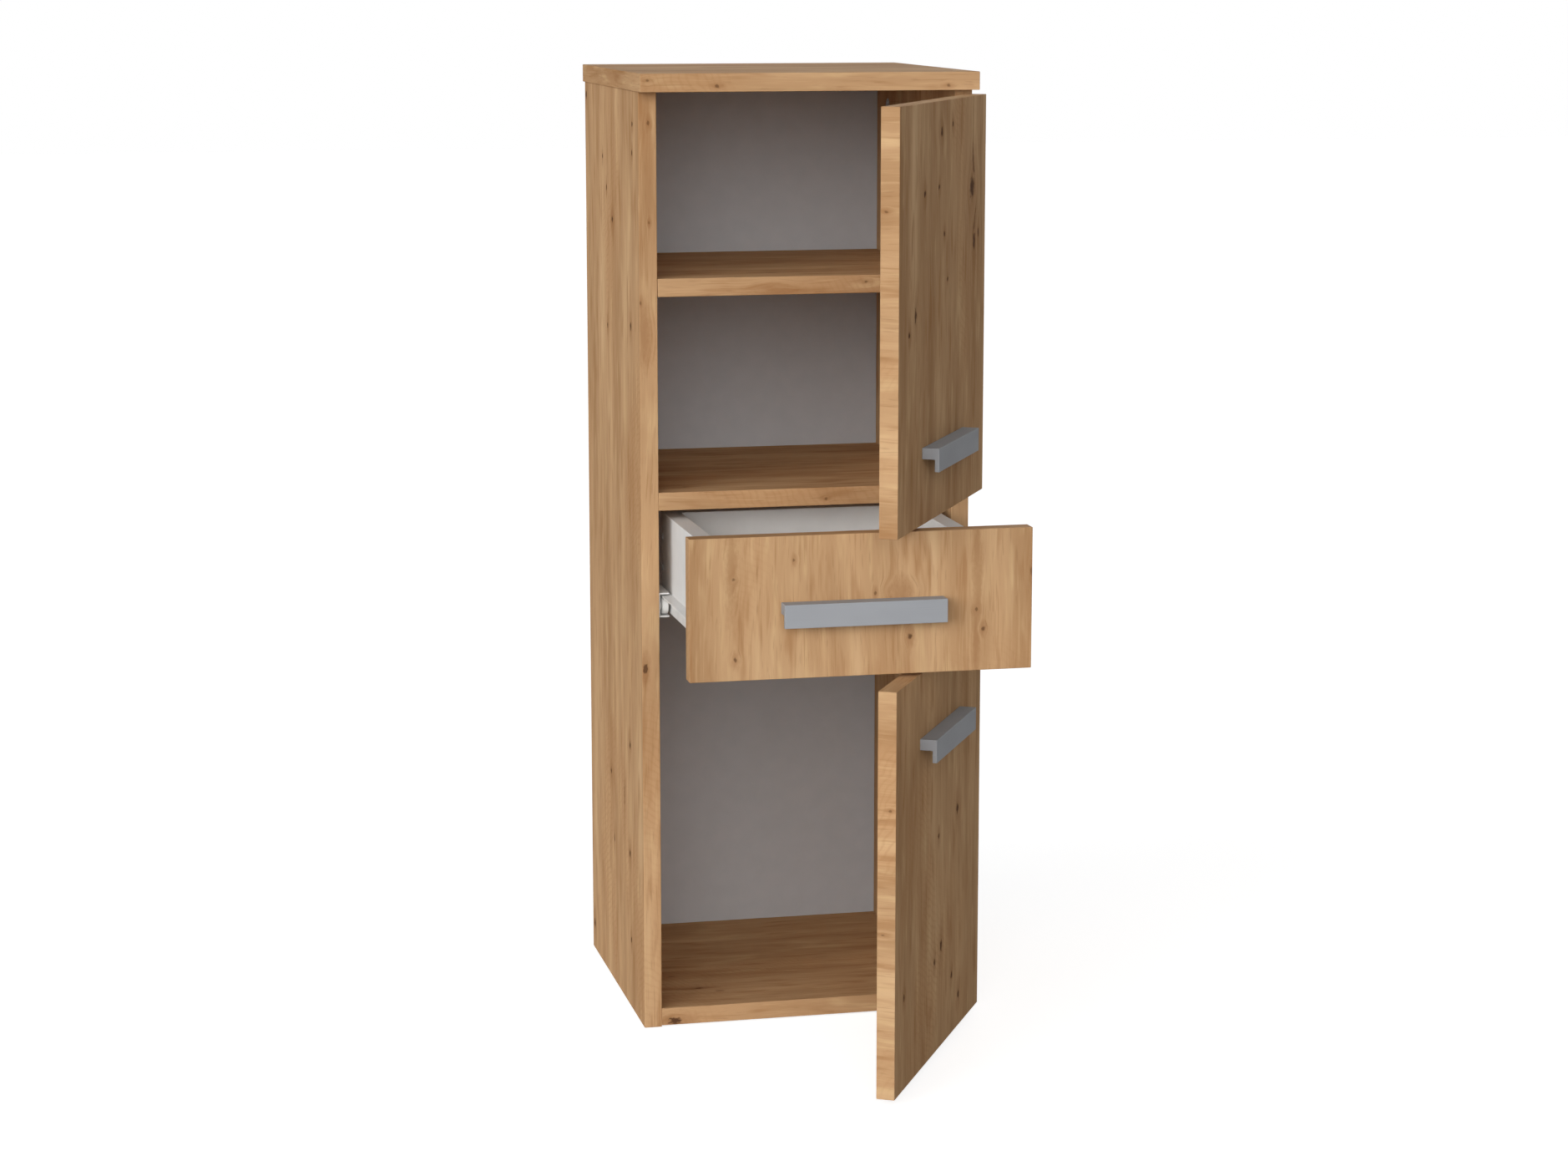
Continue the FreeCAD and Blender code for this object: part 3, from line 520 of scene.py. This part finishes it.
def make_zinc():
    """Zinc-plated steel with a faint cloudy bloom."""
    material, tree, surface = new_material("zinc_steel", {"Metallic": 0.75})
    place = solid_place(tree)
    bloom = even_noise(tree, place, 240.0, detail=3.0)
    shade = ramp(tree, bloom, [(0.3, colour(186, 187, 188)), (0.7, colour(204, 205, 206))])
    roughness = eased(tree, bloom, 0.25, 0.75, start=0.42, end=0.56)
    link_inputs(tree, surface, {"Base Color": shade, "Roughness": roughness})
    bump(tree, surface, even_noise(tree, place, 1800.0), depth=0.00003, strength=0.3)
    return material


def make_lacquered(name, dark, light, smoothest, roughest):
    """A white lacquered or moulded surface with a fine orange-peel relief."""
    material, tree, surface = new_material(name, {"Specular IOR Level": 0.45})
    place = solid_place(tree)
    shade = ramp(tree, even_noise(tree, place, 60.0), [(0.3, dark), (0.7, light)])
    peel = even_noise(tree, place, 900.0)
    roughness = eased(tree, peel, 0.3, 0.7, start=smoothest, end=roughest)
    link_inputs(tree, surface, {"Base Color": shade, "Roughness": roughness})
    bump(tree, surface, peel, depth=0.00005, strength=0.35)
    return material


def make_beech():
    """Plain beech with short flecks, for the dowels."""
    material, tree, surface = new_material("beech", {"Roughness": 0.6})
    flecks = even_noise(tree, solid_place(tree), 900.0, detail=3.0)
    shade = ramp(tree, flecks, [(0.35, colour(178, 138, 94)), (0.6, colour(214, 178, 134))])
    link_inputs(tree, surface, {"Base Color": shade})
    bump(tree, surface, flecks, depth=0.0001)
    return material


oak = {board: make_oak(board) for board in OAK_GRAIN}
white_board = make_coated_board("white_board", colour(219, 218, 216), colour(224, 223, 221))
# Painted shade: the back board is a white board greyed down, so that the bays behind the shelves look dimmer
back_board = make_coated_board("back_board", colour(185, 188, 192), colour(190, 192, 196))
raw_board = make_raw_board()
satin_grey = make_satin_grey()
zinc = make_zinc()
white_steel = make_lacquered("white_steel", colour(220, 219, 217), colour(230, 229, 227), 0.28, 0.4)
white_nylon = make_lacquered("white_nylon", colour(226, 225, 221), colour(236, 235, 232), 0.36, 0.48)
beech = make_beech()


# Pieces

def shut_turn(body):
    """The turn that takes a door from its open resting pose to its shut place, and none for other bodies."""
    for joint in frame["joints"]:
        if joint["child"] == body and body in DOORS:
            pivot = Matrix.Translation(joint["pos_m"])
            angle = math.radians(joint["range_deg"][0])
            return pivot @ Matrix.Rotation(angle, 4, Vector(joint["axis"])) @ pivot.inverted()
    return Matrix.Identity(4)


def solid_of(node):
    """A clean copy of a solid's mesh in the shut layout, with its flat faces joined."""
    work = bmesh.new()
    work.from_mesh(nodes[node].data)
    work.transform(shut_turn(nodes[node]["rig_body"]))
    bmesh.ops.remove_doubles(work, verts=work.verts, dist=WELD)
    bmesh.ops.dissolve_limit(work, angle_limit=FLAT, verts=work.verts, edges=work.edges)
    return work


def box_of(vertices):
    """The lowest and highest corner of some vertices."""
    places = [vertex.co for vertex in vertices]
    return (Vector(min(p[axis] for p in places) for axis in range(3)),
            Vector(max(p[axis] for p in places) for axis in range(3)))


def axes_by_length(low, high):
    """The axes of a box, from the one along its shortest side to the one along its longest."""
    return sorted(range(3), key=lambda axis: high[axis] - low[axis])


def round_edges(work, edges, width):
    """Break some edges of a worked mesh."""
    bmesh.ops.bevel(work, geom=edges, offset=width, segments=ROUND_SEGMENTS, profile=0.5, affect="EDGES")
    bmesh.ops.remove_doubles(work, verts=work.verts, dist=WELD)
    work.normal_update()


def finish_piece(work, node, materials):
    """Make a piece from a worked mesh, in place of a node, and let it ride on that node's body."""
    body = nodes[node]["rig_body"]
    work.transform(shut_turn(body).inverted())
    for face in work.faces:
        face.smooth = True
    mesh = bpy.data.meshes.new(node + "_piece")
    work.to_mesh(mesh)
    work.free()
    mesh.set_sharp_from_angle(angle=SHARP)
    for material in materials:
        mesh.materials.append(material)
    piece = bpy.data.objects.new(node + "_piece", mesh)
    scene.collection.objects.link(piece)
    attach(piece, body)
    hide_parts(node)


def main_axis(normal):
    """The axis and direction that a face mostly looks along."""
    axis = max(range(3), key=lambda a: abs(normal[a]))
    return axis, 1 if normal[axis] > 0 else -1


def grain_axes(axis, grain, thickness, cross):
    """The axes across and along the grain on a face that looks along an axis."""
    others = [a for a in range(3) if a != axis]
    if axis == grain:
        along = next(a for a in others if a != thickness)
    elif axis != thickness and cross:
        along = thickness
    else:
        along = grain
    across = next(a for a in others if a != along)
    return across, along


def lay_grain(work, grain, thickness, seed, cross=False):
    """Give each face corner its place across and along the grain, and the seed of its face."""
    layer = work.loops.layers.float_vector.new("grain")
    for face in work.faces:
        axis, side = main_axis(face.normal)
        across, along = grain_axes(axis, grain, thickness, cross)
        for loop in face.loops:
            place = loop.vert.co
            loop[layer] = (place[across], place[along], seed + face_number(axis, side))


def make_board(board, grain, finish):
    """A board with softly rounded edges, decor outside and bare particle board in its bores."""
    work = solid_of(board)
    low, high = box_of(work.verts)

    def limits(vertex):
        """The box faces that a vertex lies on."""
        return {(axis, end) for axis in range(3) for end, limit in enumerate((low[axis], high[axis]))
                if abs(vertex.co[axis] - limit) < TOUCH}

    rims = [edge for edge in work.edges if len(limits(edge.verts[0]) & limits(edge.verts[1])) == 2]
    round_edges(work, rims, BOARD_ROUND)
    for face in work.faces:
        axis, side = main_axis(face.normal)
        limit = high[axis] if side > 0 else low[axis]
        face.material_index = 0 if abs(face.calc_center_median()[axis] - limit) < BOARD_ROUND else 1
    thickness = axes_by_length(low, high)[0]
    lay_grain(work, grain, thickness, first_seed(board), cross=board.endswith("door_panel"))
    finish_piece(work, board, [finish, raw_board])


def make_handle(node):
    """A hook-shaped bar with its long edges just broken."""
    work = solid_of(node)
    sharp = [edge for edge in work.edges if edge.calc_face_angle(0.0) > HANDLE_EDGE_ANGLE]
    round_edges(work, [edge for edge in sharp if edge.calc_length() > HANDLE_EDGE_LENGTH], HANDLE_ROUND)
    lay_grain(work, X, Y, HANDLE_SEED)
    finish_piece(work, node, [satin_grey])


# Screws and cam locks

def absorb(work, other):
    """Add a worked mesh to another one, and let go of it."""
    mesh = bpy.data.meshes.new("absorbed")
    other.to_mesh(mesh)
    other.free()
    work.from_mesh(mesh)
    bpy.data.meshes.remove(mesh)


def carved(blank, cutter):
    """A worked mesh with another taken out of it."""
    items = []
    for work in (blank, cutter):
        mesh = bpy.data.meshes.new("carving")
        work.to_mesh(mesh)
        work.free()
        items.append(bpy.data.objects.new("carving", mesh))
        scene.collection.objects.link(items[-1])
    difference = items[0].modifiers.new("cut", "BOOLEAN")
    difference.object = items[1]
    difference.solver = "EXACT"
    difference.use_self = True
    result = bmesh.new()
    result.from_object(items[0], bpy.context.evaluated_depsgraph_get())
    for item in items:
        bpy.data.meshes.remove(item.data)
    return result


def lathed(profile, segments=28):
    """A closed round mesh about Z from a profile of radius and height, starting and ending on the axis."""
    work = bmesh.new()
    ends = [work.verts.new((0.0, 0.0, profile[0][1])), work.verts.new((0.0, 0.0, profile[-1][1]))]
    rings = []
    for radius, height in profile[1:-1]:
        angles = [2 * math.pi * index / segments for index in range(segments)]
        rings.append([work.verts.new((radius * math.cos(a), radius * math.sin(a), height)) for a in angles])
    for index in range(segments):
        following = (index + 1) % segments
        work.faces.new((ends[0], rings[0][following], rings[0][index]))
        work.faces.new((ends[1], rings[-1][index], rings[-1][following]))
        for lower, upper in zip(rings, rings[1:]):
            work.faces.new((lower[index], lower[following], upper[following], upper[index]))
    bmesh.ops.recalc_face_normals(work, faces=work.faces)
    return work


def cross_cutter(reach, width, floor, top):
    """The tapered cross of a driver's tip, from its floor to above a head."""
    floor_share, top_share = 0.6, 1.1
    work = bmesh.new()
    for length, breadth in ((reach, width), (width, reach)):
        corners = []
        for z, share in ((floor, floor_share), (top, top_share)):
            for x, y in ((-1, -1), (1, -1), (1, 1), (-1, 1)):
                corners.append(work.verts.new((x * length * share, y * breadth * share, z)))
        for start in range(4):
            after = (start + 1) % 4
            work.faces.new((corners[start], corners[after], corners[after + 4], corners[start + 4]))
        work.faces.new(corners[3::-1])
        work.faces.new(corners[4:])
    return work


def islands(work):
    """The vertices of each separate solid of a mesh, in the mesh's own order."""
    found = set()
    for first in work.verts:
        if first in found:
            continue
        found.add(first)
        group = [first]
        for vertex in group:
            for edge in vertex.link_edges:
                other = edge.other_vert(vertex)
                if other not in found:
                    found.add(other)
                    group.append(other)
        yield group


def placed(seat, axis, side):
    """The move that takes the origin to a seat and +Z to one side along an axis."""
    direction = Vector([side if a == axis else 0.0 for a in range(3)])
    return Matrix.Translation(seat) @ direction.to_track_quat("Z", "Y").to_matrix().to_4x4()


def screw(radius, length, head_radius, head_height):
    """A cross-recessed screw about Z, its head's seat at the origin and its head upwards."""
    taper_start, tip_radius = -length * 0.85, radius * 0.3
    profile = [(r * head_radius, z * head_height) for r, z in DOME]
    profile += [(head_radius, 0.0), (radius, 0.0), (radius, taper_start)]
    profile += [(tip_radius, -length), (0.0, -length)]
    reach, width = head_radius * 0.55, head_radius * 0.13
    floor, top = head_height * 0.3, head_height * 1.2
    return carved(lathed(profile), cross_cutter(reach, width, floor, top))


def measured_screw(group):
    """The sizes of a screw from its vertices, and the move that puts a screw about Z in its place."""
    on_axis, nearly_widest = 1e-4, 0.98
    low, high = box_of(group)
    axis = axes_by_length(low, high)[-1]
    middle = (low + high) / 2
    spread = {}
    for vertex in group:
        offset = vertex.co - middle
        offset[axis] = 0.0
        place = round(vertex.co[axis], 6)
        spread[place] = max(spread.get(place, 0.0), offset.length)
    head_radius = max(spread.values())
    radius = min(value for value in spread.values() if value > on_axis)
    head = [place for place, value in spread.items() if value > head_radius * nearly_widest]
    head_height = max(head) - min(head)
    side = 1 if sum(head) / len(head) > middle[axis] else -1
    seat = middle.copy()
    seat[axis] = min(head) if side > 0 else max(head)
    return (radius, high[axis] - low[axis] - head_height, head_radius, head_height), placed(seat, axis, side)


def make_screws(node):
    """Each screw of a node, measured from its solid and made again with a domed and recessed head."""
    solid = solid_of(node)
    work = bmesh.new()
    for group in islands(solid):
        sizes, place = measured_screw(group)
        piece = screw(*sizes)
        piece.transform(place)
        absorb(work, piece)
    solid.free()
    finish_piece(work, node, [zinc])


def make_cams(node, boards):
    """Cam locks with a driver's cross in the end that lies open in a board's face."""
    cross_depth, cross_rise = 0.0025, 0.001
    solid = solid_of(node)
    faces = [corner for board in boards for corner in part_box(board)]
    cutter = bmesh.new()
    for group in islands(solid):
        low, high = box_of(group)
        axis = axes_by_length(low, high)[0]
        side = 1 if any(abs(corner[axis] - high[axis]) < TOUCH for corner in faces) else -1
        seat = (low + high) / 2
        seat[axis] = high[axis] if side > 0 else low[axis]
        radius = max(high - low) / 2
        reach, width = radius * 0.62, radius * 0.16
        cross = cross_cutter(reach, width, -cross_depth, cross_rise)
        cross.transform(placed(seat, axis, side))
        absorb(cutter, cross)
    finish_piece(carved(solid, cutter), node, [zinc])


# Hardware that keeps its solids: finish, and edges just broken

def dress_solid(node, material):
    """Put a finish on a solid and soften its edges."""
    item = nodes[node]
    item.data.materials.clear()
    item.data.materials.append(material)
    weld = item.modifiers.new("weld", "WELD")
    weld.merge_threshold = WELD
    planes = item.modifiers.new("planes", "DECIMATE")
    planes.decimate_type = "DISSOLVE"
    planes.angle_limit = FLAT
    rounding = item.modifiers.new("rounding", "BEVEL")
    rounding.width = HARDWARE_ROUND
    rounding.segments = ROUND_SEGMENTS
    rounding.limit_method = "ANGLE"
    rounding.angle_limit = HARDWARE_EDGE_ANGLE


for board, grain in OAK_GRAIN.items():
    make_board(board, grain, oak[board])
for board, grain in WHITE_GRAIN.items():
    make_board(board, grain, back_board if board == "back_panel" else white_board)
for front in (*DOORS, "drawer"):
    make_handle(front + "_handle")
    make_screws(front + "_handle_screws")
for door in DOORS:
    make_screws(door + "_hinge_cup_screws")
for group in ("hinge_arm", "cabinet_rail", "drawer_rail", "drawer_back", "drawer_bottom"):
    make_screws(group + "_screws")
make_cams("carcass_cam_locks", ("left_side_panel", "right_side_panel", "bottom_panel", "middle_shelf"))
make_cams("drawer_cam_locks", ("drawer_left_side", "drawer_right_side"))
for side in ("left", "right"):
    for carrier in ("cabinet", "drawer"):
        dress_solid(f"{side}_{carrier}_rail", white_steel)
        dress_solid(f"{side}_{carrier}_roller", white_nylon)
for door in DOORS:
    for end in ("top", "bottom"):
        dress_solid(f"{door}_{end}_hinge_arm", zinc)
        dress_solid(f"{door}_{end}_hinge_cup", zinc)
for node in ("hinge_pins", "shelf_pins", "cabinet_roller_axles", "drawer_roller_axles", "back_panel_nails",
             "carcass_cam_bolts", "drawer_cam_bolts"):
    dress_solid(node, zinc)
for node in ("carcass_dowels", "drawer_dowels"):
    dress_solid(node, beech)


# Stage

def seen_directly(tree):
    """1 for what the camera sees, straight or in a reflection, and 0 for light that falls on the object."""
    path = add(tree, "LightPath").outputs
    mirrored = maths(tree, "MAXIMUM", path["Is Glossy Ray"], path["Is Transmission Ray"])
    return maths(tree, "MAXIMUM", path["Is Camera Ray"], mirrored)


def make_world():
    """A faint even light with large soft glows, while the camera sees plain white."""
    world = bpy.data.worlds.new("studio")
    scene.world = world
    world.use_nodes = True
    tree = world.node_tree
    tree.nodes.clear()
    direction = add(tree, "TexCoord").outputs["Generated"]
    light = EVEN_LIGHT
    for towards, peak in GLOWS.values():
        facing = measures(tree, "DOT_PRODUCT", direction, towards)
        light = maths(tree, "ADD", light, eased(tree, facing, GLOW_RIM, 1.0, end=peak))
    seen = seen_directly(tree)
    lit = maths(tree, "MULTIPLY", light, maths(tree, "SUBTRACT", 1.0, seen))
    background = add(tree, "Background", {"Color": WHITE, "Strength": maths(tree, "ADD", lit, seen)})
    add(tree, "OutputWorld", {"Surface": background.outputs[0]})


def make_floor():
    """A plain pale floor that stays white to the camera and keeps a soft shadow."""
    mesh = bpy.data.meshes.new("floor")
    ways = ((-1, -1), (1, -1), (1, 1), (-1, 1))
    corners = [(x * FLOOR_REACH, y * FLOOR_REACH, -FLOOR_DROP) for x, y in ways]
    mesh.from_pydata(corners, [], [(0, 1, 2, 3)])
    material = bpy.data.materials.new("floor")
    material.use_nodes = True
    tree = material.node_tree
    tree.nodes.clear()
    matte = add(tree, "BsdfDiffuse", {"Color": FLOOR_GREY})
    shine = maths(tree, "MULTIPLY", seen_directly(tree), FLOOR_SHINE)
    glowing = add(tree, "Emission", {"Color": WHITE, "Strength": shine})
    both = add(tree, "AddShader", {0: matte.outputs[0], 1: glowing.outputs[0]})
    add(tree, "OutputMaterial", {"Surface": both.outputs[0]})
    mesh.materials.append(material)
    floor = bpy.data.objects.new("floor", mesh)
    scene.collection.objects.link(floor)
    floor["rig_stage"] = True


def make_camera():
    """The photograph's viewing angle."""
    lens = bpy.data.cameras.new("camera")
    lens.sensor_width = SENSOR_WIDTH
    lens.lens = FOCAL_LENGTH
    level = math.cos(CAMERA_PITCH)
    forward = Vector((math.sin(CAMERA_YAW) * level, math.cos(CAMERA_YAW) * level, math.sin(CAMERA_PITCH)))
    item = bpy.data.objects.new("camera", lens)
    item.location = CAMERA_PLACE
    item.rotation_mode = "QUATERNION"
    item.rotation_quaternion = forward.to_track_quat("-Z", "Y")
    scene.collection.objects.link(item)
    scene.camera = item


scene.view_settings.view_transform = "Standard"
make_world()
make_floor()
make_camera()

boxes = {"cad": cad_box, "visual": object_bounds()}
{name: [list(corner) for corner in corners] for name, corners in boxes.items()}
